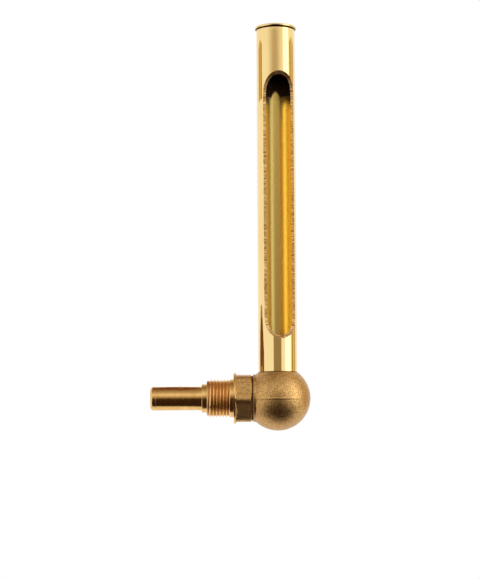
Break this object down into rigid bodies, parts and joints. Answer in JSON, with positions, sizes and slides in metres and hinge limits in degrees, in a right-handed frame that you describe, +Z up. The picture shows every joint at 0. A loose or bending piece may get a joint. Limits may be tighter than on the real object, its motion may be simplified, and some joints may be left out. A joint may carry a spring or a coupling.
{
  "type": "right-angle gauge glass housing",
  "caption": "Brass right-angle housing for an industrial gauge glass: long window tube with pull-off cap on a swivelling ball elbow, screwed in by a hex nipple with a closed immersion stem.",
  "frame": {"origin": "centre of the hex nipple's rim face that seals against the pipe boss, on the thread axis", "axes": "+Z up along the window tube, -X along the thread and immersion stem into the pipe, -Y to the front, where the window looks"},
  "size_m": [0.088, 0.0358, 0.2261],
  "materials": {
    "polished_brass": "polished, drawn along the tube",
    "turned_brass": "as turned, with fine rings",
    "cast_brass": "matt, sand cast and tumbled",
    "steel": "dark zinc",
    "fibre": "pressed fibre",
    "black_rubber": "matt"
  },
  "bodies": {
    "nipple": {"hex_nipple": "turned_brass", "immersion_tube": "turned_brass", "tip_plug": "turned_brass", "neck_o_ring": "black_rubber", "neck_washer": "fibre"},
    "elbow": {"ball_elbow": "cast_brass"},
    "elbow_screw": {"elbow_lock_screw": "steel"},
    "tube": {"window_tube": "polished_brass", "tube_foot_ring": "turned_brass", "tube_o_ring": "black_rubber"},
    "tube_screw": {"tube_lock_screw": "steel"},
    "cap": {"cap": "polished_brass", "cap_o_ring": "black_rubber"}
  },
  "joints": [
    {"name": "elbow_swivel", "type": "hinge", "parent": "nipple", "child": "elbow", "pos_m": [0, 0, 0], "axis": [1, 0, 0], "continuous": true},
    {"name": "tube_swivel", "type": "hinge", "parent": "elbow", "child": "tube", "pos_m": [0.0244, 0, 0], "axis": [0, 0, 1], "continuous": true},
    {"name": "cap_pull", "type": "slide", "parent": "tube", "child": "cap", "axis": [0, 0, 1], "range_m": [0, 0.016]},
    {"name": "elbow_screw_back_off", "type": "slide", "parent": "elbow", "child": "elbow_screw", "axis": [0, 1, 0], "range_m": [0, 0.0008]},
    {"name": "tube_screw_back_off", "type": "slide", "parent": "elbow", "child": "tube_screw", "axis": [0, 1, 0], "range_m": [0, 0.0008]}
  ]
}
